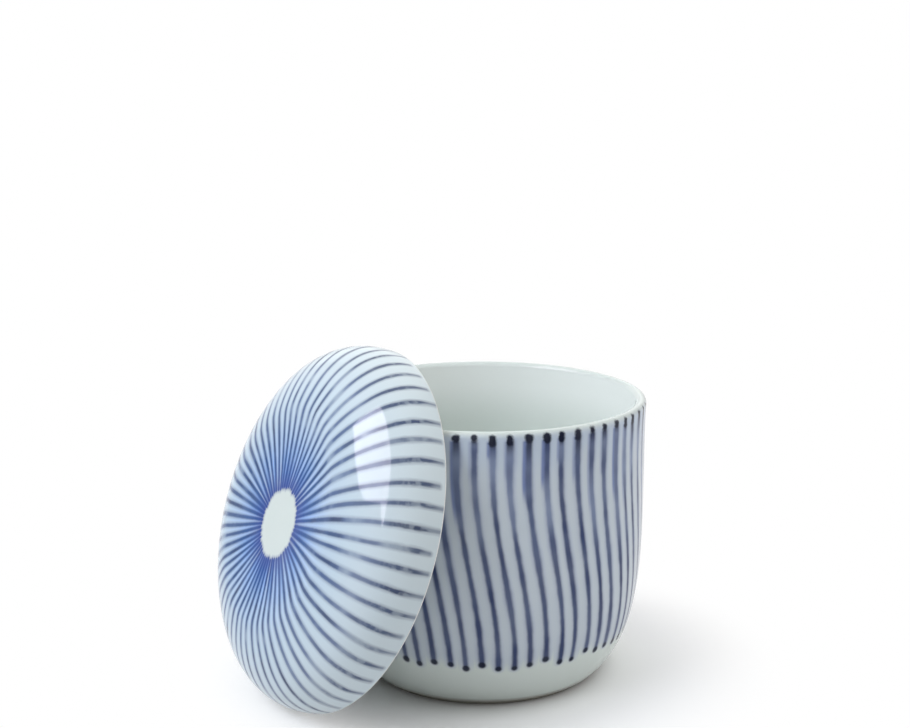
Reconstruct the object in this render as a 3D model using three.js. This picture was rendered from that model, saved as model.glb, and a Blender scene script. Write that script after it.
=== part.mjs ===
// Chawanmushi cup: a straight-sided porcelain cup on a low recessed foot, and its knobless domed lid.
// The lid stands on its edge on the table and leans against the cup's rim, with its inside to the cup.
// Lengths are millimetres and angles degrees. +Z is up, and the two pieces stand centred on the origin.
import * as THREE from 'three';

// The cup
const rimRadius = 40;          // outside, at the lip
const cupHeight = 69.7;
const lipFlare = 0.2;          // how far the lip stands out past the straight wall
const flareHeight = 9;         // stretch under the lip over which it flares
const lipThickness = 2.6;      // a full round
const wallThickness = 3;       // of the straight wall
const straightHeight = 17.7;   // from the rim down to where the outside starts to turn in
const innerStraightHeight = 27.7;
const footRadius = 28.1;       // where the outside would meet the table
const footWidth = 2.4;         // of the flat ring that the cup stands on
const footRound = 0.8;         // rounds the ring's two edges
const footSlope = 45;          // of the wall where it leaves the foot
const recessDepth = 1.8;       // hollow under the base, inside the ring
const recessRise = 0.6;        // how much deeper the hollow is in its middle
const baseThickness = 4.6;
const bodyPower = 3.6;         // of the curve from the wall to the foot: 2 is an ellipse

// The lid, measured along its own axis from the plane of its edge
const skirtClearance = 1.3;    // between the cup's rim and the skirt that comes down round it
const skirtThickness = 2.7;
const edgeRound = 0.5;
const crownHeight = 18.1;      // of the ridge round the lid's dished top
const ridgeRadius = 25.5;
const ridgeRound = 0.24;       // how much the ridge is rounded down
const dishDepth = 1.1;         // of the top's middle below the ridge
const flankPower = 2.86;       // of the curve from the ridge to the edge, across
const flankFallPower = 2.37;   // and up
const lidThickness = 3;        // at the middle
const hollowPower = 6;         // flatness of the hollow's ceiling
const hollowFallPower = 2.1;   // roundness of the hollow's shoulder
const seatDepth = 7.2;         // from the edge up to the face that sits on the rim
const seatRound = 1.4;         // between that face and the skirt
const beadClearance = 0.8;     // between the cup's inside and the bead that centres the lid
const beadThickness = 2.3;     // rounded below
const beadHeight = 2.7;        // how far the bead comes down from the seat

// How the lid leans
const leanAngle = 19.7;        // of the lid's edge plane from upright
const restGap = 0.3;           // left between the bead and the rim that it leans on

// Steps of the curves, which are counts
const turnSteps = 64;
const wallSteps = 9;
const innerSteps = 9;
const dishSteps = 4;
const domeSteps = 14;
const hollowSteps = 8;
const roundSteps = 2;
const lipSteps = 4;

const quarter = Math.PI / 2;

// Worked out from the sizes above
const wallRadius = rimRadius - lipFlare;
const lipHalf = lipThickness / 2;
const lipCentre = cupHeight - lipHalf;
const bellyHeight = cupHeight - straightHeight;
const innerBelly = cupHeight - innerStraightHeight;
const floorHeight = recessDepth + baseThickness;
const skirtRadius = rimRadius + skirtClearance;
const lidRadius = skirtRadius + skirtThickness;
const beadRadius = rimRadius - lipThickness - beadClearance;
const beadHalf = beadThickness / 2;
const hollowRadius = beadRadius - beadThickness;
const beadCentre = seatDepth - beadHeight + beadHalf;
const lean = THREE.MathUtils.degToRad(leanAngle);

// Points of an arc round (x, y), from one angle to the other, ends included.
function arc(x, y, radius, from, to, steps) {
  return Array.from({ length: steps + 1 }, (_, i) => {
    const turn = from + (to - from) * i / steps;
    return new THREE.Vector2(x + radius * Math.cos(turn), y + radius * Math.sin(turn));
  });
}

// One quarter of a superellipse: (across / width)^acrossPower + (up / height)^upPower = 1.
const superellipse = (share, acrossPower, upPower) => (1 - share ** acrossPower) ** (1 / upPower);

// How far the lip stands out at a height: nothing on the wall, and a parabola up to the lip.
function flareAt(z) {
  const share = THREE.MathUtils.clamp((z - lipCentre + flareHeight) / flareHeight, 0, 1);
  return share * share;
}

// The cup's outside radius: straight wall, then a superellipse whose lower end is cut off at the foot.
const footShare = superellipse(footRadius / wallRadius, bodyPower, bodyPower);
function outerRadius(z) {
  const share = footShare * Math.max(0, bellyHeight - z) / bellyHeight;
  return wallRadius * superellipse(share, bodyPower, bodyPower) + lipFlare * flareAt(z);
}

// The cup's inside radius: the same kind of curve, which closes at the floor.
function innerRadius(z) {
  const wall = wallRadius - wallThickness;
  const share = Math.min(1, Math.max(0, innerBelly - z) / (innerBelly - floorHeight));
  const lipShift = rimRadius - lipThickness - wall;
  return wall * superellipse(share, bodyPower, bodyPower) + lipShift * flareAt(z);
}

// Heights of an outline's points, from its lowest up: even turns round the superellipse, whose full height
// is reach, and the start and middle of the flare.
function wallHeights(lowest, belly, reach, steps) {
  const first = Math.acos(((belly - lowest) / reach) ** (bodyPower / 2));
  const heights = [lipCentre - flareHeight, lipCentre - flareHeight / 2];
  for (let i = 0; i <= steps; i++) {
    const turn = first + (quarter - first) * i / steps;
    heights.push(belly - reach * Math.cos(turn) ** (2 / bodyPower));
  }
  return heights.sort((a, b) => a - b);
}

function cupProfile() {
  const slope = THREE.MathUtils.degToRad(footSlope);
  const footTop = footRound * (1 - Math.cos(slope));
  const footOuter = outerRadius(footTop) - footRound * Math.sin(slope);
  const footInner = footOuter - footWidth;
  const outer = wallHeights(footTop, bellyHeight, bellyHeight / footShare, wallSteps).slice(1);
  const inner = wallHeights(floorHeight, innerBelly, innerBelly - floorHeight, innerSteps);
  return [
    new THREE.Vector2(0, recessDepth + recessRise),
    ...arc(footInner - 2 * footRound, recessDepth - footRound, footRound, quarter, 0, roundSteps),
    ...arc(footInner, footRound, footRound, 2 * quarter, 3 * quarter, roundSteps),
    ...arc(footOuter, footRound, footRound, -quarter, slope - quarter, roundSteps),
    ...outer.map((z) => new THREE.Vector2(outerRadius(z), z)),
    ...arc(outerRadius(lipCentre) - lipHalf, lipCentre, lipHalf, 0, 2 * quarter, lipSteps),
    ...inner.reverse().map((z) => new THREE.Vector2(innerRadius(z), z)),
  ];
}

// The lid's outside height over a radius. The top is a shallow parabola, highest at the ridge. The flank is
// a superellipse through the ridge, upright at the edge. The lower of the two counts, and a hyperbola
// rounds the ridge between them.
function domeAt(radius) {
  const dish = crownHeight - dishDepth * (1 - (radius / ridgeRadius) ** 2);
  const atRidge = superellipse(ridgeRadius / lidRadius, flankPower, flankFallPower);
  const fall = superellipse(radius / lidRadius, flankPower, flankFallPower) / atRidge;
  const flank = edgeRound + (crownHeight - edgeRound) * fall;
  return (dish + flank) / 2 - Math.hypot((dish - flank) / 2, ridgeRound);
}

// The hollow inside the bead: one superellipse, from the seat's level up.
const hollowHeight = crownHeight - dishDepth - lidThickness - seatDepth;
const hollowAt = (radius) => seatDepth
  + hollowHeight * superellipse(radius / hollowRadius, hollowPower, hollowFallPower);

// How far the bead's round comes down at a radius.
const beadAt = (radius) => beadCentre
  - Math.sqrt(Math.max(0, beadHalf ** 2 - (radius - hollowRadius - beadHalf) ** 2));

// The lid's underside over a radius, which tells what the lid leans on.
function undersideAt(radius) {
  if (radius > lidRadius) return Infinity;
  if (radius >= skirtRadius) return 0;
  if (radius >= beadRadius) return seatDepth;
  if (radius >= hollowRadius) return beadAt(radius);
  return hollowAt(radius);
}

// Points over even turns of a superellipse of a power, from a radius out to its width.
function crownPoints(inner, width, power, heightAt, steps) {
  const first = Math.asin((inner / width) ** (power / 2));
  return Array.from({ length: steps + 1 }, (_, i) => {
    const turn = first + (quarter - first) * i / steps;
    const radius = width * Math.sin(turn) ** (2 / power);
    return new THREE.Vector2(radius, heightAt(radius));
  });
}

// The outside of the dome from its middle out: even steps over the dish, then even turns over the flank.
function domePoints() {
  const dish = Array.from({ length: dishSteps }, (_, i) => {
    const radius = ridgeRadius * i / dishSteps;
    return new THREE.Vector2(radius, domeAt(radius));
  });
  return [...dish, ...crownPoints(ridgeRadius, lidRadius, flankPower, domeAt, domeSteps)];
}

function lidProfile() {
  return [
    ...crownPoints(0, hollowRadius, hollowPower, hollowAt, hollowSteps),
    ...arc(hollowRadius + beadHalf, beadCentre, beadHalf, -2 * quarter, 0, lipSteps),
    new THREE.Vector2(beadRadius, seatDepth),
    ...arc(skirtRadius - seatRound, seatDepth - seatRound, seatRound, quarter, 0, roundSteps),
    ...arc(skirtRadius + edgeRound, edgeRound, edgeRound, -2 * quarter, -quarter, roundSteps),
    ...arc(lidRadius - edgeRound, edgeRound, edgeRound, -quarter, 0, roundSteps),
    ...domePoints().slice(0, -1).reverse(),
  ];
}

// The height of the middle of the lid's edge plane when its rounded edge stands on the table.
const standHeight = (lidRadius - edgeRound) * Math.cos(lean) + edgeRound * (1 - Math.sin(lean));

// The least room along the lid's axis between its underside and the cup, with the lid's middle at a
// distance from the cup's axis: every point of the cup's outside and lip is set against the underside.
function roomAt(distance) {
  const rows = 90;
  const turns = 90;
  const points = Array.from({ length: rows + 1 }, (_, i) => {
    const z = lipCentre * i / rows;
    return new THREE.Vector2(outerRadius(z), z);
  });
  points.push(...arc(outerRadius(lipCentre) - lipHalf, lipCentre, lipHalf, 0, 2 * quarter, rows));
  let least = Infinity;
  for (const { x: radius, y: z } of points) {
    for (let j = 0; j <= turns; j++) {
      const turn = quarter * j / turns;
      const out = distance - radius * Math.cos(turn);
      const up = z - standHeight;
      const along = up * Math.sin(lean) - out * Math.cos(lean);
      const across = Math.hypot(out * Math.sin(lean) + up * Math.cos(lean), radius * Math.sin(turn));
      least = Math.min(least, undersideAt(across) - along);
    }
  }
  return least;
}

// The distance at which the lid, pushed towards the cup from outside, comes to rest against it.
function leanDistance() {
  const halvings = 30;
  const step = restGap;
  let clear = rimRadius + lidRadius;
  while (roomAt(clear - step) > restGap) clear -= step;
  let touching = clear - step;
  for (let i = 0; i < halvings; i++) {
    const middle = (clear + touching) / 2;
    if (roomAt(middle) > restGap) clear = middle;
    else touching = middle;
  }
  return clear;
}

// A round piece from its profile, with its axis along +Z.
function turned(name, profile, color, roughness) {
  const geometry = new THREE.LatheGeometry(profile, turnSteps).rotateX(quarter);
  const material = new THREE.MeshStandardMaterial({ color, roughness, metalness: 0 });
  const mesh = new THREE.Mesh(geometry, material);
  mesh.name = name;
  return mesh;
}

const cup = turned('cup', cupProfile(), 0xc9d3d6, 0.16);

const lid = turned('lid', lidProfile(), 0xd3dfe2, 0.16);
lid.rotation.y = lean - quarter;
lid.position.set(-leanDistance(), 0, standHeight);

const part = new THREE.Group();
part.add(cup, lid);
const box = new THREE.Box3().setFromObject(part, true);
part.position.x = -(box.min.x + box.max.x) / 2;

export default part;
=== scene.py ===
"""Looks of the chawanmushi cup: a pale glazed porcelain cup with hand-painted blue strokes, and its domed
lid, which leans on it. Lengths are written in millimetres and turned to metres where a mesh is made."""
import math

import bpy
import numpy as np
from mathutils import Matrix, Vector


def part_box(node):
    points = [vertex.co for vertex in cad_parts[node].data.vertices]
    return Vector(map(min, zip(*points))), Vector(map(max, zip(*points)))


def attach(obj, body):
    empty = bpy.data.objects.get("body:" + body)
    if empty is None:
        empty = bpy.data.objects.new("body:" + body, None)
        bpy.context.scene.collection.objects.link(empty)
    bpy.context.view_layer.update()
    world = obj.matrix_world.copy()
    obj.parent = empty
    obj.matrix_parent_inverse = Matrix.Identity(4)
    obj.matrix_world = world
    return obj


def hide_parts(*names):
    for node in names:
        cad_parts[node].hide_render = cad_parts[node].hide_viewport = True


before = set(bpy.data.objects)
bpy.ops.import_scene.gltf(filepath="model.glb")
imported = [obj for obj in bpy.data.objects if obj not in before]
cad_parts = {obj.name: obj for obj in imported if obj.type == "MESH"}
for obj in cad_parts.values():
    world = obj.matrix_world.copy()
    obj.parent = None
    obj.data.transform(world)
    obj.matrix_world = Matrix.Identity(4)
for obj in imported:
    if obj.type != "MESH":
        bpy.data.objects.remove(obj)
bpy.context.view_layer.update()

MM = 0.001
TAU = 2 * math.pi

# Sizes that the part's solids have too
LIP_FLARE = 0.2
FLARE_HEIGHT = 9
LIP_THICKNESS = 2.6
WALL_THICKNESS = 3
STRAIGHT_HEIGHT = 17.7
INNER_STRAIGHT_HEIGHT = 27.7
FOOT_RADIUS = 28.1
FOOT_WIDTH = 2.4
FOOT_ROUND = 0.8
FOOT_SLOPE = math.radians(45)
RECESS_DEPTH = 1.8
RECESS_RISE = 0.6
BASE_THICKNESS = 4.6
BODY_POWER = 3.6
SKIRT_CLEARANCE = 1.3
SKIRT_THICKNESS = 2.7
EDGE_ROUND = 0.5
CROWN_HEIGHT = 18.1
RIDGE_RADIUS = 25.5
RIDGE_ROUND = 0.24
DISH_DEPTH = 1.1
FLANK_POWER = 2.86
FLANK_FALL_POWER = 2.37
LID_THICKNESS = 3
HOLLOW_POWER = 6
HOLLOW_FALL_POWER = 2.1
SEAT_DEPTH = 7.2
SEAT_ROUND = 1.4
BEAD_CLEARANCE = 0.8
BEAD_THICKNESS = 2.3
BEAD_HEIGHT = 2.7
LEAN = math.radians(19.7)

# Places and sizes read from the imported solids
cup_low, cup_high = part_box("cup")
lid_low, lid_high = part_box("lid")
CUP_AXIS = (cup_low.x + cup_high.x) / 2 / MM
RIM_RADIUS = (cup_high.x - cup_low.x) / 2 / MM
CUP_HEIGHT = cup_high.z / MM
LID_RADIUS = RIM_RADIUS + SKIRT_CLEARANCE + SKIRT_THICKNESS
LID_EDGE = LID_RADIUS - EDGE_ROUND
LID_MIDDLE = lid_high.x / MM - LID_EDGE * math.sin(LEAN) - EDGE_ROUND * (1 - math.cos(LEAN))
LID_STAND = LID_EDGE * math.cos(LEAN) + EDGE_ROUND * (1 - math.sin(LEAN))

# The painting
CUP_STROKES = 61
CUP_FIRST = -92.2              # angle of one stroke at the middle of the sway, in degrees
CUP_SCATTER = 0.32             # of the strokes round the cup, in degrees
SWAY = 8.8                     # how far round a stroke drifts from its top to its end, in degrees
SWAY_TOP = 61
SWAY_END = 11
SWAY_MIDDLE_SHARE = 0.24
CUP_STROKE_END = 13.2          # height at which the cup's strokes end
LID_STROKES = 56
LID_FIRST = -92.4
LID_SCATTER = 0.4
FAN_SHIFT = -2.05              # down the slope, from the lid's middle to where its strokes would meet
SPOT_SHIFT = (-1.95, -0.9)     # of the bare spot's middle from the lid's middle
SPOT_RADIUS = 8.6
LID_START_SCATTER = 1.7        # of the strokes where they leave the spot, in degrees either way
START_REACH = 20               # radius by which they have come back to their lines
WOBBLE = 0.1                   # of a stroke's way from its smooth line, in mm
WOBBLE_WAVES = ((1.3, 0.6), (3.1, 0.5), (6.7, 0.3))
CUP_SEED = 7                   # of the strokes' chance places
LID_SEED = 11
SPARE_LINES = 2                # by which the strokes' lines overlap past a full turn
UNPAINTED = -9                 # stands for a place that no stroke reaches
FOOT_WIPED_AND_SHADED = (0.7, 2.6)        # heights between which the glaze thins out to the foot's wiped ring, whose dark colour is painted shade where it meets the floor
EDGE_WIPED_AND_LIT = 0.375             # up to this height above its plane the lid's edge is wiped; its pale clay also makes a painted highlight line

# Rows and columns of the meshes, which are counts
RECESS_ROWS = 14
OUTER_ROWS = (74, 30)          # round the curve above the foot, and up the straight wall
INNER_ROWS = (70, 24)          # round the curve above the floor, and up the straight wall
ROUND_ROWS = 6                 # round a small edge
LIP_ROWS = 20
HOLLOW_ROWS = 46
BEAD_ROWS = 16
SEAT_ROWS = 8
DISH_ROWS = 16
RIDGE_ROWS = 16
RIDGE_BAND = (3, 2)            # how far inside and outside the ridge those rows lie, in mm
FLANK_ROWS = 90
COLUMNS = 336
FULL_TURN = np.arange(COLUMNS + 1) * TAU / COLUMNS


def superellipse(share, across, up):
    """(1 - share^across)^(1/up), one quarter of a superellipse of unit width and height."""
    return (1 - np.clip(share, 0, 1) ** across) ** (1 / up)


def smoothstep(share):
    """3s^2 - 2s^3, with s held between 0 and 1."""
    s = np.clip(share, 0, 1)
    return s * s * (3 - 2 * s)


def arc(x, y, radius, start, end, steps):
    """Points (x + r cos t, y + r sin t) for t from start to end."""
    t = np.linspace(start, end, steps + 1)
    return np.column_stack([x + radius * np.cos(t), y + radius * np.sin(t)])


WALL_RADIUS = RIM_RADIUS - LIP_FLARE
LIP_HALF = LIP_THICKNESS / 2
LIP_CENTRE = CUP_HEIGHT - LIP_HALF
BELLY = CUP_HEIGHT - STRAIGHT_HEIGHT
INNER_BELLY = CUP_HEIGHT - INNER_STRAIGHT_HEIGHT
FLOOR_HEIGHT = RECESS_DEPTH + BASE_THICKNESS
FOOT_SHARE = float(superellipse(FOOT_RADIUS / WALL_RADIUS, BODY_POWER, BODY_POWER))
QUARTER = math.pi / 2


def flare_at(z):
    """Parabola from 0 at the flare's start to 1 at the lip."""
    return np.clip((z - LIP_CENTRE + FLARE_HEIGHT) / FLARE_HEIGHT, 0, 1) ** 2


def outer_radius(z):
    """Straight wall, then wall * superellipse(foot share * (belly - z) / belly), plus the lip's flare."""
    share = FOOT_SHARE * np.maximum(0, BELLY - z) / BELLY
    return WALL_RADIUS * superellipse(share, BODY_POWER, BODY_POWER) + LIP_FLARE * flare_at(z)


def inner_radius(z):
    """The same kind of curve one wall further in, closing at the floor."""
    wall = WALL_RADIUS - WALL_THICKNESS
    share = np.maximum(0, INNER_BELLY - z) / (INNER_BELLY - FLOOR_HEIGHT)
    flare = RIM_RADIUS - LIP_THICKNESS - wall
    return wall * superellipse(share, BODY_POWER, BODY_POWER) + flare * flare_at(z)


def wall_heights(lowest, belly, reach, rows):
    """Heights belly - reach * cos(t)^(2 / power) at even turns t up to the belly, then even steps up to
    the lip. rows holds how many of each."""
    curved, straight = rows
    first = math.acos(((belly - lowest) / reach) ** (BODY_POWER / 2))
    turn = np.linspace(first, QUARTER, curved)
    bend = belly - reach * np.cos(turn) ** (2 / BODY_POWER)
    return np.concatenate([bend[:-1], np.linspace(belly, LIP_CENTRE, straight)])


def cup_profile():
    """The cup's outline from the middle of its underside round the foot, up, over the lip and down."""
    foot_top = FOOT_ROUND * (1 - math.cos(FOOT_SLOPE))
    foot_outer = float(outer_radius(foot_top)) - FOOT_ROUND * math.sin(FOOT_SLOPE)
    foot_inner = foot_outer - FOOT_WIDTH
    corner = foot_inner - 2 * FOOT_ROUND
    across = np.linspace(0, corner, RECESS_ROWS)[:-1]
    under = np.column_stack([across, RECESS_DEPTH + RECESS_RISE * (1 - (across / corner) ** 2)])
    outer = wall_heights(foot_top, BELLY, BELLY / FOOT_SHARE, OUTER_ROWS)[1:-1]
    inner = wall_heights(FLOOR_HEIGHT, INNER_BELLY, INNER_BELLY - FLOOR_HEIGHT, INNER_ROWS)[::-1][1:]
    return np.concatenate([
        under,
        arc(corner, RECESS_DEPTH - FOOT_ROUND, FOOT_ROUND, QUARTER, 0, ROUND_ROWS),
        arc(foot_inner, FOOT_ROUND, FOOT_ROUND, 2 * QUARTER, 3 * QUARTER, ROUND_ROWS),
        arc(foot_outer, FOOT_ROUND, FOOT_ROUND, -QUARTER, FOOT_SLOPE - QUARTER, ROUND_ROWS),
        np.column_stack([outer_radius(outer), outer]),
        arc(RIM_RADIUS - LIP_HALF, LIP_CENTRE, LIP_HALF, 0, 2 * QUARTER, LIP_ROWS),
        np.column_stack([inner_radius(inner), inner]),
    ])


def dome_at(radius):
    """The lower of the dish's parabola and the flank's superellipse, joined by a hyperbola at the ridge."""
    dish = CROWN_HEIGHT - DISH_DEPTH * (1 - (radius / RIDGE_RADIUS) ** 2)
    at_ridge = superellipse(RIDGE_RADIUS / LID_RADIUS, FLANK_POWER, FLANK_FALL_POWER)
    fall = superellipse(radius / LID_RADIUS, FLANK_POWER, FLANK_FALL_POWER) / at_ridge
    flank = EDGE_ROUND + (CROWN_HEIGHT - EDGE_ROUND) * fall
    return (dish + flank) / 2 - np.hypot((dish - flank) / 2, RIDGE_ROUND)


def lid_profile():
    """The lid's outline from the middle of its hollow, over the bead, seat, skirt and edge, up the dome."""
    skirt = RIM_RADIUS + SKIRT_CLEARANCE
    bead = RIM_RADIUS - LIP_THICKNESS - BEAD_CLEARANCE
    half = BEAD_THICKNESS / 2
    hollow = bead - BEAD_THICKNESS
    rise = CROWN_HEIGHT - DISH_DEPTH - LID_THICKNESS - SEAT_DEPTH
    centre = SEAT_DEPTH - BEAD_HEIGHT + half
    turn = np.linspace(0, QUARTER, HOLLOW_ROWS)
    across = hollow * np.sin(turn) ** (2 / HOLLOW_POWER)
    ceiling = SEAT_DEPTH + rise * superellipse(across / hollow, HOLLOW_POWER, HOLLOW_FALL_POWER)
    before, after = RIDGE_RADIUS - RIDGE_BAND[0], RIDGE_RADIUS + RIDGE_BAND[1]
    dome = np.concatenate([
        np.linspace(0, before, DISH_ROWS),
        np.linspace(before, after, RIDGE_ROWS)[1:],
        after + (LID_RADIUS - after) * np.sin(np.linspace(0, QUARTER, FLANK_ROWS)[1:-1]),
    ])
    return np.concatenate([
        np.column_stack([across, ceiling]),
        arc(hollow + half, centre, half, -2 * QUARTER, 0, BEAD_ROWS),
        arc(skirt - SEAT_ROUND, SEAT_DEPTH - SEAT_ROUND, SEAT_ROUND, QUARTER, 0, SEAT_ROWS),
        arc(skirt + EDGE_ROUND, EDGE_ROUND, EDGE_ROUND, -2 * QUARTER, -QUARTER, ROUND_ROWS),
        arc(LID_EDGE, EDGE_ROUND, EDGE_ROUND, -QUARTER, 0, ROUND_ROWS),
        np.column_stack([dome, dome_at(dome)])[::-1],
    ])


def lengths(profile):
    """Length along the outline up to each point."""
    steps = np.hypot(*np.diff(profile, axis=0).T)
    return np.concatenate([[0], np.cumsum(steps)])


def even_strokes(rng, first, count, scatter):
    """Angles of the strokes: even round the circle from the first one on, in order, and each of them
    moved by a normal scatter. first and scatter are in degrees."""
    even = np.radians(first) + np.arange(count) * TAU / count
    return np.sort(np.mod(even, TAU)) + np.radians(scatter) * rng.standard_normal(count)


def smooth_scatter(rng, strokes, rows):
    """For each stroke a slow random way to the side: a sum of three sines of random phase, each written
    as its waves from end to end and its size."""
    way = np.linspace(0, 1, rows)[:, None]
    total = np.zeros((rows, strokes))
    for waves, size in WOBBLE_WAVES:
        total += size * np.sin(TAU * (waves * way + rng.random(strokes)[None, :]))
    return total


def stroke_numbers(angles, lines):
    """For each row, the stroke number at every angle: whole on a stroke's line, and in even steps between
    two lines. The lines are repeated a little past the full turn on both sides."""
    count = lines.shape[1]
    numbers = np.empty_like(angles)
    wide = np.arange(-SPARE_LINES, count + SPARE_LINES + 1)
    for row, (angle, line) in enumerate(zip(angles, lines)):
        around = line[wide % count] + TAU * (wide // count)
        numbers[row] = np.interp(angle, around, wide)
    return numbers


def turned_mesh(name, profile, place, number, layers):
    """A closed surface of revolution. Point (row, column) lies at (r cos t, r sin t, z) of its profile row,
    with t even round the circle, and the first and last profile points are its poles on the axis. number
    holds the stroke number at every row and column, one column past the full turn, and goes to the UV map
    strokes. layers are named values for every row, or for every row and column."""
    rows = len(profile) - 2
    turn = FULL_TURN[:-1]
    radius, height = profile[1:-1, 0:1], profile[1:-1, 1:2]
    ring = np.stack([radius * np.cos(turn), radius * np.sin(turn), height + 0 * turn], -1).reshape(-1, 3)
    poles = np.array([[0, 0, profile[0, 1]], [0, 0, profile[-1, 1]]])
    points = place(np.concatenate([ring, poles])) * MM
    grid = np.arange(rows * COLUMNS).reshape(rows, COLUMNS)
    here, there = grid, np.roll(grid, -1, axis=1)
    quads = np.stack([here[:-1], there[:-1], there[1:], here[1:]], -1).reshape(-1, 4)
    first = np.column_stack([np.full(COLUMNS, rows * COLUMNS), there[0], here[0]])
    last = np.column_stack([np.full(COLUMNS, rows * COLUMNS + 1), here[-1], there[-1]])
    mesh = bpy.data.meshes.new(name)
    mesh.from_pydata(points.tolist(), [], quads.tolist() + first.tolist() + last.tolist())
    left, right = number[:, :-1], number[:, 1:]
    quad_u = np.stack([left[:-1], right[:-1], right[1:], left[1:]], -1).reshape(-1)
    first_u = np.stack([left[0], right[0], left[0]], -1).reshape(-1)
    last_u = np.stack([left[-1], left[-1], right[-1]], -1).reshape(-1)
    u = np.concatenate([quad_u, first_u, last_u])
    strokes = mesh.uv_layers.new(name="strokes")
    strokes.data.foreach_set("uv", np.column_stack([u, 0 * u]).astype(np.float32).ravel())
    for layer, value in layers.items():
        value = np.broadcast_to(value, (rows, COLUMNS))
        flat = np.concatenate([value.ravel(), value[0, :1], value[-1, :1]])
        attribute = mesh.attributes.new(layer, "FLOAT", "POINT")
        attribute.data.foreach_set("value", flat.astype(np.float32))
    mesh.shade_smooth()
    mesh.update()
    mesh.validate()
    piece = bpy.data.objects.new(name, mesh)
    bpy.context.scene.collection.objects.link(piece)
    return piece


def make_cup():
    """The cup: its strokes run down the outside, straight at first, then drifting round, then straight.
    along is the way out from the lip's crest and left the way to the strokes' end, both on the surface."""
    profile = cup_profile()
    rng = np.random.default_rng(CUP_SEED)
    radius, height = profile[1:-1, 0:1], profile[1:-1, 1:2]
    even = even_strokes(rng, CUP_FIRST, CUP_STROKES, CUP_SCATTER)
    drift = smoothstep((SWAY_TOP - height) / (SWAY_TOP - SWAY_END)) - SWAY_MIDDLE_SHARE
    wobble = WOBBLE / RIM_RADIUS * smooth_scatter(rng, CUP_STROKES, len(height))
    lines = even + np.radians(SWAY) * drift + wobble
    number = stroke_numbers(np.tile(FULL_TURN, (len(height), 1)), lines)
    way = lengths(profile)[1:-1, None]
    along = way[np.argmax(height)] - way
    wall = (along > 0) & (height > FLOOR_HEIGHT)
    end = np.interp(CUP_STROKE_END, height[wall], along[wall])
    wiped_and_shaded = (height - FOOT_WIPED_AND_SHADED[0]) / (FOOT_WIPED_AND_SHADED[1] - FOOT_WIPED_AND_SHADED[0])
    layers = {
        "along": along,
        "left": end - along,
        "gap": radius * TAU / CUP_STROKES,
        "bare_and_painted_light": 1 - smoothstep(wiped_and_shaded),
    }

    def place(points):
        """Moves the cup along X to its axis."""
        return points + np.array([CUP_AXIS, 0, 0])

    return turned_mesh("porcelain_cup", profile, place, number, layers)


def make_lid():
    """The lid: its strokes fan out from a bare spot a little below the middle of the dome. along is the
    level way from the spot's border, and left the way on the surface to the widest place of the edge."""
    profile = lid_profile()
    rng = np.random.default_rng(LID_SEED)
    radius, height = profile[1:-1, 0:1], profile[1:-1, 1:2]
    even = even_strokes(rng, LID_FIRST, LID_STROKES, LID_SCATTER)
    x = radius * np.cos(FULL_TURN)
    y = radius * np.sin(FULL_TURN)
    fan = np.arctan2(y, x - FAN_SHIFT)
    angle = fan + TAU * np.round((FULL_TURN - fan) / TAU)
    wobble = WOBBLE / RIM_RADIUS * smooth_scatter(rng, LID_STROKES, len(height))
    start = np.radians(LID_START_SCATTER) * rng.uniform(-1, 1, LID_STROKES)
    wobble = wobble + start * smoothstep((START_REACH - radius) / START_REACH)
    number = stroke_numbers(angle, even + wobble)
    way = lengths(profile)[1:-1, None]
    left = way - way[np.argmax(radius)]
    outside = left >= -EDGE_ROUND * QUARTER
    spot = np.hypot(x - SPOT_SHIFT[0], y - SPOT_SHIFT[1])[:, :-1]
    layers = {
        "along": np.where(outside, spot - SPOT_RADIUS, UNPAINTED),
        "left": np.where(outside, left, UNPAINTED),
        "gap": np.hypot(x - FAN_SHIFT, y)[:, :-1] * TAU / LID_STROKES,
        "bare_and_painted_light": height < EDGE_WIPED_AND_LIT,
    }
    sine, cosine = math.sin(LEAN), math.cos(LEAN)

    def place(points):
        """Leans the lid: its x goes up the slope, at the lean from upright, and its z out of the dome."""
        x, y, z = points.T
        return np.column_stack([LID_MIDDLE + x * sine - z * cosine, y, LID_STAND + x * cosine + z * sine])

    return turned_mesh("porcelain_lid", profile, place, number, layers)


# The Mix node's sockets for colours, which come after those for values and vectors
MIX_INPUTS = (6, 7)
MIX_OUTPUT = 2


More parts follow.
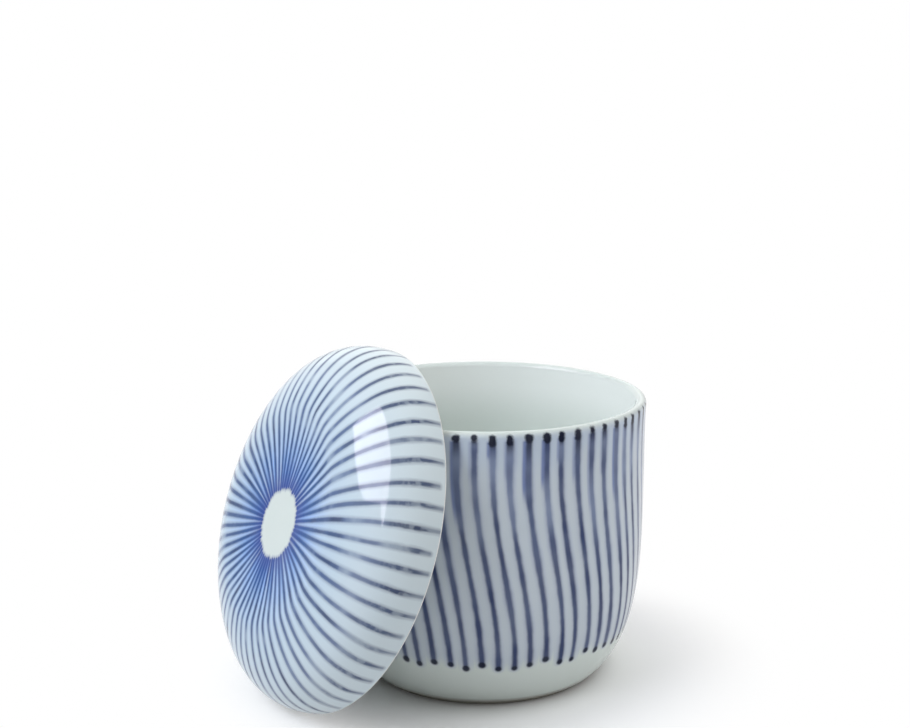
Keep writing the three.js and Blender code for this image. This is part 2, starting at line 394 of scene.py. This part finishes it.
class Paint:
    """The nodes of a material or of the world. Most methods add a node and give back its result."""

    def __init__(self, owner):
        owner.use_nodes = True
        self.owner = owner
        self.tree = owner.node_tree
        self.tree.nodes.clear()

    def node(self, kind, **settings):
        """Adds a node of a kind, with its settings."""
        made = self.tree.nodes.new(kind)
        for key, value in settings.items():
            setattr(made, key, value)
        return made

    def feed(self, socket, value):
        """Links a result to a socket, or sets the socket to a plain value or colour."""
        if isinstance(value, bpy.types.NodeSocket):
            self.tree.links.new(value, socket)
        elif isinstance(value, tuple) and len(value) == 3 and socket.type == "RGBA":
            socket.default_value = (*value, 1)
        else:
            socket.default_value = value

    def math(self, operation, *values):
        """One operation on one or two values."""
        made = self.node("ShaderNodeMath", operation=operation)
        for socket, value in zip(made.inputs, values):
            self.feed(socket, value)
        return made.outputs[0]

    def plus(self, first, second):
        """first + second."""
        return self.math("ADD", first, second)

    def minus(self, first, second):
        """first - second."""
        return self.math("SUBTRACT", first, second)

    def times(self, first, second):
        """first * second."""
        return self.math("MULTIPLY", first, second)

    def larger(self, first, second):
        """The larger of two values."""
        return self.math("MAXIMUM", first, second)

    def ramp(self, value, start, end, low=0.0, high=1.0):
        """From low to high as value goes from start to end, smoothly at both ends."""
        made = self.node("ShaderNodeMapRange", interpolation_type="SMOOTHSTEP")
        for socket, given in zip(made.inputs, (value, start, end, low, high)):
            self.feed(socket, given)
        return made.outputs[0]

    def mix(self, share, first, second):
        """The first colour where the share is 0 and the second where it is 1."""
        made = self.node("ShaderNodeMix", data_type="RGBA")
        first_socket, second_socket = (made.inputs[number] for number in MIX_INPUTS)
        self.feed(made.inputs["Factor"], share)
        self.feed(first_socket, first)
        self.feed(second_socket, second)
        return made.outputs[MIX_OUTPUT]

    def bands(self, value, stops):
        """Colours at given values, blended evenly between them."""
        low, high = stops[0][0], stops[-1][0]
        made = self.node("ShaderNodeValToRGB")
        elements = made.color_ramp.elements
        for number, (where, tint) in enumerate(stops):
            place = (where - low) / (high - low)
            element = elements[number] if number < 2 else elements.new(place)
            element.position = place
            element.color = (*tint, 1)
        share = self.math("DIVIDE", self.minus(value, float(low)), float(high - low))
        self.feed(made.inputs["Fac"], share)
        return made.outputs["Color"]

    def layer(self, name):
        """One of the values that the mesh carries."""
        return self.node("ShaderNodeAttribute", attribute_name=name).outputs["Fac"]

    def chance(self, number, seed):
        """A random value from 0 to 1 for each whole number."""
        made = self.node("ShaderNodeTexWhiteNoise", noise_dimensions="2D")
        self.feed(made.inputs["Vector"], self.vector(number, seed, 0.0))
        return made.outputs["Value"]

    def vector(self, x, y, z):
        """The vector (x, y, z)."""
        made = self.node("ShaderNodeCombineXYZ")
        for socket, value in zip(made.inputs, (x, y, z)):
            self.feed(socket, value)
        return made.outputs[0]

    def distance(self, vector, point):
        """How far a vector lies from a fixed point."""
        made = self.node("ShaderNodeVectorMath", operation="DISTANCE")
        self.feed(made.inputs[0], vector)
        made.inputs[1].default_value = point
        return made.outputs["Value"]

    def noise(self, place, scale=1.0, detail=2.0):
        """Smooth noise, mostly between 0.25 and 0.75, at a vector or at three values."""
        made = self.node("ShaderNodeTexNoise")
        self.feed(made.inputs["Vector"], self.vector(*place) if isinstance(place, tuple) else place)
        made.inputs["Scale"].default_value = scale
        made.inputs["Detail"].default_value = detail
        return made.outputs["Fac"]


def colour(red, green, blue):
    """A linear colour from its 8-bit screen values: ((value / 255 + 0.055) / 1.055)^2.4 for each."""
    return tuple(((c / 255 + 0.055) / 1.055) ** 2.4 for c in (red, green, blue))


PORCELAIN = colour(220, 228, 223)
# A lighter copy of the glaze, painted light: on the cup's inside, and under the lid's edge, where it helps
# make a painted highlight line. The glaze's clouds lean a little towards it.
PALE_LIT_PORCELAIN = colour(240, 244, 242)
INSIDE_SHADED_PORCELAIN = colour(218, 225, 221)     # painted shade deep inside the cup: a darker copy of the glaze
LIP_SHADED_PORCELAIN = colour(206, 213, 209)        # painted shade over the lip's crest: a darker copy of the glaze
LID_PORCELAIN = colour(207, 215, 212)
# The foot ring's bare clay, painted dark as the shade where the foot meets the floor
FOOT_CLAY_AND_SHADE = colour(160, 156, 147)
# The lid's bare edge, painted pale as a highlight line along it
EDGE_CLAY_AND_HIGHLIGHT = colour(238, 236, 230)
CUP_STAIN = colour(202, 211, 219)            # the glaze between the cup's strokes, faintly blue from them
CUP_TOP_STAIN = colour(195, 207, 221)        # the same below the lip, where the brush was fullest
CUP_BLEED = colour(152, 163, 192)
CUP_WASH = colour(112, 128, 176)
CUP_INK = colour(40, 54, 98)
CUP_THIN_INK = colour(138, 151, 180)
DROP_INK = colour(0, 13, 43)
# The lid's glaze between strokes, by distance from the bare spot in mm
LID_STAINS = (
    (0, colour(98, 128, 200)), (1.5, colour(122, 155, 220)), (3.5, colour(140, 179, 240)),
    (7, colour(160, 193, 243)), (12, colour(175, 199, 229)), (17, colour(187, 205, 222)),
    (22, colour(195, 211, 223)), (28, colour(203, 216, 225)), (36, colour(206, 217, 221)),
)
# The lid's strokes, by the same distance
LID_INKS = (
    (0, colour(38, 68, 144)), (3.5, colour(28, 72, 142)), (7, colour(32, 78, 138)),
    (12, colour(42, 76, 128)), (17, colour(80, 102, 144)), (22, colour(94, 113, 150)),
    (28, colour(118, 132, 162)), (34, colour(76, 89, 118)),
)
LID_DARK_INK = colour(46, 56, 88)


def stroke_parts(paint, strokes):
    """What every stroke's paint is worked out from. Gives its number, that of the gap between strokes, the
    way across it in mm from its middle, and the ways along it from its start and left to its limit."""
    split = paint.node("ShaderNodeSeparateXYZ")
    paint.feed(split.inputs[0], paint.node("ShaderNodeUVMap", uv_map="strokes").outputs[0])
    number = split.outputs[0]
    nearest = paint.math("ROUND", number)
    stroke = paint.math("FLOORED_MODULO", nearest, float(strokes))
    between = paint.math("FLOORED_MODULO", paint.math("FLOOR", number), float(strokes))
    across = paint.times(paint.minus(number, nearest), paint.layer("gap"))
    return stroke, between, across, paint.layer("along"), paint.layer("left")


def stroke_noise(paint, stroke, along, apart, pace, layer):
    """Noise that changes along a stroke at its pace per mm, and is another one on every stroke."""
    return paint.noise((paint.times(stroke, apart), paint.times(along, pace), layer))


def border_noise(paint, stroke, across, along, paces, cells):
    """Fine noise that changes across and along a stroke at its two paces."""
    return paint.noise((paint.times(across, paces[0]), paint.times(along, paces[1]), stroke), *cells)


def away_from(paint, across, beyond, half):
    """How far outside a round-ended stroke a place lies: sqrt(across^2 + beyond^2) less its half width."""
    end = paint.larger(beyond, 0.0)
    square = paint.plus(paint.times(across, across), paint.times(end, end))
    return paint.minus(paint.math("SQRT", square), half)


SKIN_HEIGHT = 0.06             # of the unevenness in the glaze's surface, in mm
# Noises of the skin, of clouds in the glaze and of the clay's grain, as cells per metre and detail
SWELL_NOISE = (60, 1)
RIPPLE_NOISE = (420, 1)
RIPPLE_SHARE = 0.1
CLOUD_NOISE = (90, 3)
CLOUD_SHARE = (0.3, 0.75, 0.0, 0.05)
GRAIN_NOISE = (2500, 4)
GRAIN_SPAN = (0.35, 0.7)
GRAIN_SHARE = 0.3
GRAIN_SHADE = 0.86
GLAZE_ROUGHNESS = 0.05
CLAY_ROUGHNESS = 0.6
GLAZE_SPECULAR = 0.12


def finish_glaze(paint, base, clay_and_painted_light):
    """Glossy glaze with a faintly uneven skin, and matt clay where a ring was wiped clean to stand on. The
    clay's colour also carries painted light: shade at the cup's foot, a highlight line at the lid's edge.
    """
    place = paint.node("ShaderNodeTexCoord").outputs["Object"]
    bare_and_painted_light = paint.layer("bare_and_painted_light")
    cloud = paint.noise(place, *CLOUD_NOISE)
    base = paint.mix(paint.ramp(cloud, *CLOUD_SHARE), base, PALE_LIT_PORCELAIN)
    grain = paint.noise(place, *GRAIN_NOISE)
    clay = paint.mix(paint.ramp(grain, *GRAIN_SPAN), clay_and_painted_light, tuple(GRAIN_SHADE * c for c in clay_and_painted_light))
    ripple = paint.times(paint.noise(place, *RIPPLE_NOISE), RIPPLE_SHARE)
    skin = paint.plus(paint.noise(place, *SWELL_NOISE), ripple)
    skin = paint.plus(skin, paint.times(paint.times(grain, bare_and_painted_light), GRAIN_SHARE))
    bump = paint.node("ShaderNodeBump")
    bump.inputs["Strength"].default_value = 1.0
    bump.inputs["Distance"].default_value = SKIN_HEIGHT * MM
    paint.feed(bump.inputs["Height"], skin)
    roughness = paint.larger(paint.times(bare_and_painted_light, CLAY_ROUGHNESS), GLAZE_ROUGHNESS)
    shader = paint.node("ShaderNodeBsdfPrincipled")
    paint.feed(shader.inputs["Base Color"], paint.mix(bare_and_painted_light, base, clay))
    paint.feed(shader.inputs["Roughness"], roughness)
    paint.feed(shader.inputs["Normal"], bump.outputs[0])
    shader.inputs["Specular IOR Level"].default_value = GLAZE_SPECULAR
    out = paint.node("ShaderNodeOutputMaterial")
    paint.feed(out.inputs["Surface"], shader.outputs[0])
    return paint.owner


# Seeds of the random values
CHANCE_SEEDS = (1.5, 2.5, 3.5, 4.5)          # four for each stroke
CUP_GAP_SEED = 5.5
LID_GAP_SEED = 4.5
NOISE_MIDDLE = 0.5
# Noises: how far apart two strokes lie in it, its pace per mm, and its layer
CUP_WIDTH_NOISE = (7.3, 0.055, 0.0)
LID_WIDTH_NOISE = (7.3, 0.09, 0.0)
CUP_DEPTH_NOISE = (5.1, 0.06, 9.0)
LID_DEPTH_NOISE = (5.1, 0.14, 9.0)

# How the strokes are painted, in mm. Brackets hold a ramp: where it starts and ends, and its results
# there, which are 0 and 1 where no more numbers follow. Paces hold two, across a stroke and along it,
# and cells a noise's scale on top of them and its detail.
CUP_LINE_START = 3.2                         # of a line's full width, from the lip's crest
CUP_LINE_END = (0, 1, -0.9, 0.7)             # by chance, how far a line stops short of the strokes' end
CUP_HALF_WIDTH = (0.25, 0.75, 0.55, 0.77)
CUP_SWELL = (4, 14, 0.1, 0)                  # more half width near the top, where the brush was full
CUP_ROUGH_PACES = (0.5, 0.3)
CUP_ROUGH_CELLS = (1.1, 2)
CUP_ROUGHNESS = (0.25, 0.75, -0.07, 0.07)    # of the lines' borders
CUP_LINE_EDGE = (-0.42, 0.42, 1, 0)
CUP_BLEED_EDGE = (0, 1.1, 1, 0)
CUP_BLEED_SHARE = (0.3, 0.8, 0.25, 0.6)
WASH_REACH = (0, 1, 4.5, 20)
WASH_FADE = 1.35                             # the wash has faded out at this many times its reach
WASH_LEFT_SIDE = (-1.75, -1.0)
WASH_RIGHT_SIDE = (0.1, 0.6, 1, 0)
WASH_TOP = (2.4, 3.2)
WASH_SHARE = (0, 0.75, 0.2, 0.95)
DROP_SIZE = (0, 1, 0.72, 0.98)
DROP_TOP = 1.15                              # from the lip's crest to the drop's upper border
DROP_LENGTH = (0, 1, 0.1, 1.2)               # more than its width
DROP_SHIFT = 0.08
DROP_EDGE = (-0.34, 0.36, 1, 0)
BLOT_CELLS = (1.1, 2)
BLOT_SIZE = (0.25, 0.75, -0.16, 0.16)
RUN_LENGTH = (0, 1, 2, 7)                    # how far the drop's ink runs down the line
RUN_SHARE = 0.8
TIP_MIDDLE = 0.1                             # past the line's end
TIP_SIZE = (0, 1, 0.66, 0.94)
TIP_EDGE = (-0.32, 0.3, 0.92, 0)
STAIN_TOP = (0.6, 2.4)
STAIN_END = (-2.6, 1.6, 1, 0)
TOP_STAIN_START = 3.5
TOP_STAIN_END = (0, 1, 6, 15)
INSIDE_SHADE_DEPTH = (-19, -6)                     # ways in from the lip's crest: full painted shade at the first, none at the second
LIP_INNER = (-2.3, -0.5)
LIP_OUTER = (0.8, 3)
THIN_SHARE = (0.32, 0.68, 0.15, 1)
THIN_BELOW = (12, 40, 1, 0.32)


def cup_line(paint, across, start, end, half):
    """How strongly a line of the cup shows and how far its ink bleeds."""
    away = away_from(paint, across, paint.larger(start, end), half)
    return paint.ramp(away, *CUP_LINE_EDGE), paint.ramp(away, *CUP_BLEED_EDGE)


def cup_wash(paint, across, along, length, strength):
    """The thin blue that flowed out to the left of a line's top."""
    reach = paint.ramp(length, *WASH_REACH)
    wash = paint.times(paint.ramp(across, *WASH_LEFT_SIDE), paint.ramp(across, *WASH_RIGHT_SIDE))
    wash = paint.times(wash, paint.ramp(along, *WASH_TOP))
    wash = paint.times(wash, paint.ramp(along, reach, paint.times(reach, WASH_FADE), 1.0, 0.0))
    return paint.times(wash, paint.ramp(strength, *WASH_SHARE))


def cup_drop(paint, stroke, across, along, width, length, flow):
    """The dark drop at a line's top, with a blotted border, and the ink that runs down from it."""
    blot = paint.noise((across, along, stroke), *BLOT_CELLS)
    size = paint.ramp(width, *DROP_SIZE)
    top = paint.plus(size, DROP_TOP)
    bottom = paint.plus(top, paint.ramp(length, *DROP_LENGTH))
    beyond = paint.larger(paint.minus(top, along), paint.minus(along, bottom))
    half = paint.plus(size, paint.ramp(blot, *BLOT_SIZE))
    away = away_from(paint, paint.plus(across, DROP_SHIFT), beyond, half)
    run_end = paint.plus(bottom, paint.ramp(flow, *RUN_LENGTH))
    return paint.ramp(away, *DROP_EDGE), paint.ramp(along, bottom, run_end, RUN_SHARE, 0.0)


def cup_glaze():
    """Upright strokes under the glaze. Each starts in a nearly black drop at the lip that runs down into a
    soft-edged line, beside a wash that flowed out to its left, and ends in a small drop where the brush
    was lifted."""
    paint = Paint(bpy.data.materials.new("cup_glaze"))
    stroke, between, across, along, left = stroke_parts(paint, CUP_STROKES)
    one, two, three, four = (paint.chance(stroke, seed) for seed in CHANCE_SEEDS)
    haze = paint.chance(between, CUP_GAP_SEED)
    slow = stroke_noise(paint, stroke, along, *CUP_WIDTH_NOISE)
    depth = stroke_noise(paint, stroke, along, *CUP_DEPTH_NOISE)
    fine = border_noise(paint, stroke, across, along, CUP_ROUGH_PACES, CUP_ROUGH_CELLS)

    start = paint.minus(CUP_LINE_START, along)
    end = paint.minus(paint.ramp(two, *CUP_LINE_END), left)
    half = paint.plus(paint.ramp(slow, *CUP_HALF_WIDTH), paint.ramp(along, *CUP_SWELL))
    half = paint.plus(half, paint.ramp(fine, *CUP_ROUGHNESS))
    line, bleed = cup_line(paint, across, start, end, half)
    bleed = paint.times(bleed, paint.ramp(slow, *CUP_BLEED_SHARE))
    wash = cup_wash(paint, across, along, one, three)
    drop, run = cup_drop(paint, stroke, across, along, three, four, two)
    lift = paint.math("ABSOLUTE", paint.minus(end, TIP_MIDDLE))
    tip = paint.ramp(away_from(paint, across, lift, paint.ramp(one, *TIP_SIZE)), *TIP_EDGE)

    painted = paint.times(paint.ramp(along, *STAIN_TOP), paint.ramp(end, *STAIN_END))
    top = paint.ramp(along, TOP_STAIN_START, paint.ramp(haze, *TOP_STAIN_END), 1.0, 0.0)
    stain = paint.mix(top, CUP_STAIN, CUP_TOP_STAIN)
    # Painted light inside the cup: the shaded copy of the glaze deep down, the lighter copy higher up, and
    # the shaded lip over the crest.
    inside = paint.mix(paint.ramp(along, *INSIDE_SHADE_DEPTH), INSIDE_SHADED_PORCELAIN, PALE_LIT_PORCELAIN)
    body = paint.mix(paint.ramp(along, *LIP_INNER), inside, LIP_SHADED_PORCELAIN)
    body = paint.mix(paint.ramp(along, *LIP_OUTER), body, PORCELAIN)
    body = paint.mix(painted, body, stain)
    body = paint.mix(bleed, body, CUP_BLEED)
    body = paint.mix(wash, body, CUP_WASH)
    thin = paint.times(paint.ramp(depth, *THIN_SHARE), paint.ramp(along, *THIN_BELOW))
    ink = paint.mix(thin, CUP_INK, CUP_THIN_INK)
    ink = paint.mix(run, ink, DROP_INK)
    body = paint.mix(line, body, ink)
    return finish_glaze(paint, paint.mix(paint.larger(drop, tip), body, DROP_INK), FOOT_CLAY_AND_SHADE)


LID_LINE_START = (0, 1, -0.28, 0.28)         # by chance, how far from the spot's border
LID_LINE_END = (0, 1, 0.3, 1.6)              # by chance, how far from the edge
LID_WIDER = 0.02                             # more half width for each mm of the gap between strokes
LID_HALF_WIDTH = (0.25, 0.75, 0.32, 0.44)
LID_TAPER = (0.5, 6, 0.6, 1)
LID_DRY = (3, 14, 1, 0)                      # ways left to the edge at which the brush is dry, and full
LID_ROUGH_PACES = (1.2, 0.8)
LID_ROUGH_CELLS = (1.3, 3)
LID_ROUGHNESS = 0.15                         # of the lines' borders, and how much a dry brush adds
LID_DRY_ROUGHNESS = 0.6
LID_LINE_EDGE = (-0.25, 0.27, 1, 0)
LID_BLEED_EDGE = (0, 0.9, 0.4, 0)
LID_OUTSIDE = (-0.75, -0.6)                  # where the painted outside begins, under the edge
DRY_GRAIN_PACES = (0.4, 1.0)
DRY_GRAIN_CELLS = (1.5, 1.5)
BROKEN_SPAN = (0.36, 0.6, 1, 0)
BROKEN_SHARE = 0.6
WORN_END = (0.3, 4, 0.5, 0)
SPOT_JAG = 0.35
SPOT_EDGE = (-0.18, 0.22, 1, 0)
POOL_SHARE = (0.05, 0.95, -0.5, 0.5)
POOL_REACH = (2, 14, 1, 0)
DEEP_NOISE_SPAN = (0.4, 0.7)
DEEP_SHARE = (0.1, 0.9, 0.2, 0.9)
DEEP_REACH = (2, 26, 0.35, 1)
PALE_SHARE = (0.25, 0.5, 0.5, 0)
PALE_REACH = (6, 20)


def lid_glaze():
    """Strokes under the glaze that fan out from the bare spot. They start wet, in a cobalt wash that joins
    them, and thin out over the ridge. Towards the edge the brush ran dry, so they are grainy and taper."""
    paint = Paint(bpy.data.materials.new("lid_glaze"))
    stroke, between, across, along, left = stroke_parts(paint, LID_STROKES)
    one, two, three = (paint.chance(stroke, seed) for seed in CHANCE_SEEDS[:3])
    pool = paint.chance(between, LID_GAP_SEED)
    slow = stroke_noise(paint, stroke, along, *LID_WIDTH_NOISE)
    depth = stroke_noise(paint, stroke, along, *LID_DEPTH_NOISE)
    fine = border_noise(paint, stroke, across, along, LID_ROUGH_PACES, LID_ROUGH_CELLS)
    fine = paint.minus(fine, NOISE_MIDDLE)
    grain = border_noise(paint, stroke, across, along, DRY_GRAIN_PACES, DRY_GRAIN_CELLS)

    before = paint.minus(paint.ramp(one, *LID_LINE_START), along)
    past = paint.minus(paint.ramp(two, *LID_LINE_END), left)
    half = paint.plus(paint.times(paint.layer("gap"), LID_WIDER), paint.ramp(slow, *LID_HALF_WIDTH))
    half = paint.times(half, paint.ramp(left, *LID_TAPER))
    dry = paint.ramp(left, *LID_DRY)
    rough = paint.plus(paint.times(dry, LID_DRY_ROUGHNESS), LID_ROUGHNESS)
    away = away_from(paint, across, paint.larger(before, past), half)
    away = paint.plus(away, paint.times(fine, rough))
    outside = paint.ramp(left, *LID_OUTSIDE)
    broken = paint.times(paint.ramp(grain, *BROKEN_SPAN), paint.times(dry, BROKEN_SHARE))
    broken = paint.larger(broken, paint.ramp(left, *WORN_END))
    line = paint.times(paint.ramp(away, *LID_LINE_EDGE), outside)
    line = paint.times(line, paint.minus(1.0, broken))
    bleed = paint.times(paint.ramp(away, *LID_BLEED_EDGE), outside)

    started = paint.ramp(paint.plus(before, paint.times(fine, SPOT_JAG)), *SPOT_EDGE)
    ink = paint.bands(along, LID_INKS)
    pooled = paint.times(paint.ramp(pool, *POOL_SHARE), paint.ramp(along, *POOL_REACH))
    stain = paint.mix(paint.larger(pooled, 0.0), paint.bands(along, LID_STAINS), ink)
    stain = paint.mix(paint.larger(paint.times(pooled, -1.0), 0.0), stain, LID_PORCELAIN)
    deep = paint.times(paint.ramp(depth, *DEEP_NOISE_SPAN), paint.ramp(three, *DEEP_SHARE))
    deep = paint.times(deep, paint.ramp(along, *DEEP_REACH))
    pale = paint.times(paint.ramp(depth, *PALE_SHARE), paint.ramp(along, *PALE_REACH))
    strong = paint.mix(deep, ink, LID_DARK_INK)
    strong = paint.mix(pale, strong, stain)
    body = paint.mix(started, LID_PORCELAIN, stain)
    body = paint.mix(bleed, body, ink)
    body = paint.mix(line, body, strong)
    # Below the painted outside, under the edge and inside, the lid takes the lighter copy of the glaze,
    # painted light.
    return finish_glaze(paint, paint.mix(outside, PALE_LIT_PORCELAIN, body), EDGE_CLAY_AND_HIGHLIGHT)


def dress(piece, body, node, material):
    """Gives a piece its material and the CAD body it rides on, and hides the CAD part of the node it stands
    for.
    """
    piece.data.materials.append(material)
    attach(piece, body)
    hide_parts(node)


dress(make_cup(), "cup", "cup", cup_glaze())
dress(make_lid(), "lid", "lid", lid_glaze())

# The studio
CUP_MIDDLE = Vector((CUP_AXIS, 0, 0))
IMAGE_WIDTH = 910
FOCAL_PIXELS = 1600
SENSOR = 36
CAMERA_PLACE = (-197.78, -331.2, 157.8)      # from the cup's axis on the floor
CAMERA_TURN = 60.21                          # of the view's level direction from +X, in degrees
CAMERA_DIP = 11.82
NEAR_CLIP = 10
LIT_PLACE = (-30, 0, 40)                     # what the light panels face, between lid and cup
PANEL_DISTANCE = 900
PANEL_SIZE = 900
WINDOW_TURN = 168
WINDOW_RISE = 43
WINDOW_STRENGTH = 5.16
WINDOW_GLOSS = 20.0                          # its strength in the glaze's reflections
WINDOW_TINT = (0.95, 1.0, 1.06)
WINDOW_GLOSS_TINT = (0.98, 0.91, 1.02)
# The window's corners, as shares of its distance across to the left and up
WINDOW_CORNER_SHARES = (
    (-0.44, -0.05), (-0.33, 0.17), (-0.25, 0.45), (-0.08, 0.45), (0.24, 0.33), (0.4, 0.2),
    (0.6, -0.03), (0.68, -0.22), (0.38, -0.11), (0.1, -0.25), (-0.08, -0.26), (-0.25, -0.19),
)
RIGHT_TURN = -30
RIGHT_RISE = 30
RIGHT_STRENGTH = 1.02
BACK_TURN = 60
BACK_RISE = 40
BACK_STRENGTH = 0.62
SKY_STRENGTH = 0.79                          # straight overhead; none at the horizon
FLOOR_SIZE = 3000
SHADE_MIDDLE = (-2.2, 0.8, 0)                # of the foot's painted shade and of the fade, from the cup's axis
FADE_MIDDLE = (0, 2.9, 0)
FLOOR_FADE = (39.5, 78.8)                    # radii between which the floor turns to plain white
FOOT_SHADE = (28, 39)                        # radii of the painted shade round the foot: full inside the first, gone past the second
FOOT_SHADE_TONE = 0.82
BOUNCE_GREY = 0.8                            # of the floor, for the light that it throws back


def facing(turn, rise):
    """The direction of length 1 at a turn from +X and a rise above level, both in degrees."""
    turn, rise = math.radians(turn), math.radians(rise)
    return Vector((math.cos(turn) * math.cos(rise), math.sin(turn) * math.cos(rise), math.sin(rise)))


def make_camera():
    """The camera that was fitted to the outlines of cup and lid."""
    look = facing(CAMERA_TURN, -CAMERA_DIP)
    camera = bpy.data.objects.new("camera", bpy.data.cameras.new("camera"))
    camera.data.sensor_width = SENSOR
    camera.data.lens = FOCAL_PIXELS / IMAGE_WIDTH * SENSOR
    camera.data.clip_start = NEAR_CLIP * MM
    camera.location = (CUP_MIDDLE + Vector(CAMERA_PLACE)) * MM
    camera.rotation_euler = look.to_track_quat("-Z", "Y").to_euler()
    bpy.context.scene.collection.objects.link(camera)
    bpy.context.scene.camera = camera


def make_panel(name, turn, rise, strength):
    """A square soft light that faces the object. Its power is strength * pi * its area."""
    way = facing(turn, rise)
    lamp = bpy.data.lights.new(name, "AREA")
    lamp.size = PANEL_SIZE * MM
    lamp.energy = strength * math.pi * lamp.size ** 2
    panel = bpy.data.objects.new(name, lamp)
    panel.location = (Vector(LIT_PLACE) + PANEL_DISTANCE * way) * MM
    panel.rotation_euler = way.to_track_quat("Z", "Y").to_euler()
    bpy.context.scene.collection.objects.link(panel)


def make_window():
    """A glowing sheet in a window's outline, unseen by the camera. Its corners lie at
    distance * (direction + u * across + v * up) from what it lights."""
    way = facing(WINDOW_TURN, WINDOW_RISE)
    across = Vector((0, 0, 1)).cross(way).normalized()
    up = way.cross(across)
    middle = Vector(LIT_PLACE)
    corners = [middle + PANEL_DISTANCE * (way + u * across + v * up) for u, v in WINDOW_CORNER_SHARES]
    mesh = bpy.data.meshes.new("window_light")
    mesh.from_pydata([corner * MM for corner in corners], [], [range(len(corners))])
    paint = Paint(bpy.data.materials.new("window_light"))
    glow = paint.node("ShaderNodeEmission")
    glossy = paint.node("ShaderNodeLightPath").outputs["Is Glossy Ray"]
    paint.feed(glow.inputs["Color"], paint.mix(glossy, WINDOW_TINT, WINDOW_GLOSS_TINT))
    paint.feed(glow.inputs["Strength"], paint.ramp(glossy, 0.0, 1.0, WINDOW_STRENGTH, WINDOW_GLOSS))
    out = paint.node("ShaderNodeOutputMaterial")
    paint.feed(out.inputs["Surface"], glow.outputs[0])
    mesh.materials.append(paint.owner)
    window = bpy.data.objects.new("window_light", mesh)
    bpy.context.scene.collection.objects.link(window)
    window.visible_camera = False
    window.visible_shadow = False


def shown(paint):
    """1 for what the camera sees, straight or in a gloss or through glass, and 0 for light that bounces."""
    path = paint.node("ShaderNodeLightPath")
    seen = paint.larger(path.outputs["Is Camera Ray"], path.outputs["Is Glossy Ray"])
    return paint.larger(seen, path.outputs["Is Transmission Ray"])


def mix_shaders(paint, share, first, second, out):
    """The first shader where the share is 0 and the second where it is 1, as the output's surface."""
    blend = paint.node("ShaderNodeMixShader")
    paint.feed(blend.inputs[0], share)
    paint.feed(blend.inputs[1], first.outputs[0])
    paint.feed(blend.inputs[2], second.outputs[0])
    paint.feed(paint.node(out).inputs["Surface"], blend.outputs[0])


def make_floor():
    """Pale paper that keeps the shadows near the object, with a painted shade in a ring round the foot, and
    fades to plain white further out.
    """
    bpy.ops.mesh.primitive_plane_add(size=FLOOR_SIZE * MM)
    floor = bpy.context.object
    floor.name = "floor"
    paint = Paint(bpy.data.materials.new("floor_paper"))
    seen = shown(paint)
    place = paint.node("ShaderNodeTexCoord").outputs["Object"]
    from_foot = paint.distance(place, (CUP_MIDDLE + Vector(SHADE_MIDDLE)) * MM)
    from_middle = paint.distance(place, (CUP_MIDDLE + Vector(FADE_MIDDLE)) * MM)
    near = paint.ramp(from_foot, FOOT_SHADE[0] * MM, FOOT_SHADE[1] * MM)
    tone = paint.mix(near, (FOOT_SHADE_TONE,) * 3, (1.0, 1.0, 1.0))
    diffuse = paint.node("ShaderNodeBsdfDiffuse")
    paint.feed(diffuse.inputs["Color"], paint.mix(seen, (BOUNCE_GREY,) * 3, tone))
    fade = paint.ramp(from_middle, FLOOR_FADE[0] * MM, FLOOR_FADE[1] * MM)
    white = paint.node("ShaderNodeEmission")
    mix_shaders(paint, paint.times(fade, seen), diffuse, white, "ShaderNodeOutputMaterial")
    floor.data.materials.append(paint.owner)


def make_world():
    """White for the eye, and for the light a sky whose strength grows with the height it comes from."""
    paint = Paint(bpy.data.worlds.new("studio"))
    bpy.context.scene.world = paint.owner
    split = paint.node("ShaderNodeSeparateXYZ")
    paint.feed(split.inputs[0], paint.node("ShaderNodeTexCoord").outputs["Generated"])
    sky = paint.node("ShaderNodeBackground")
    paint.feed(sky.inputs["Color"], (1.0, 1.0, 1.0))
    paint.feed(sky.inputs["Strength"], paint.times(paint.larger(split.outputs["Z"], 0.0), SKY_STRENGTH))
    white = paint.node("ShaderNodeBackground")
    paint.feed(white.inputs["Color"], (1.0, 1.0, 1.0))
    mix_shaders(paint, shown(paint), sky, white, "ShaderNodeOutputWorld")


make_camera()
make_window()
make_panel("right_light", RIGHT_TURN, RIGHT_RISE, RIGHT_STRENGTH)
make_panel("back_light", BACK_TURN, BACK_RISE, BACK_STRENGTH)
make_floor()
make_world()
bpy.context.scene.view_settings.view_transform = "Standard"
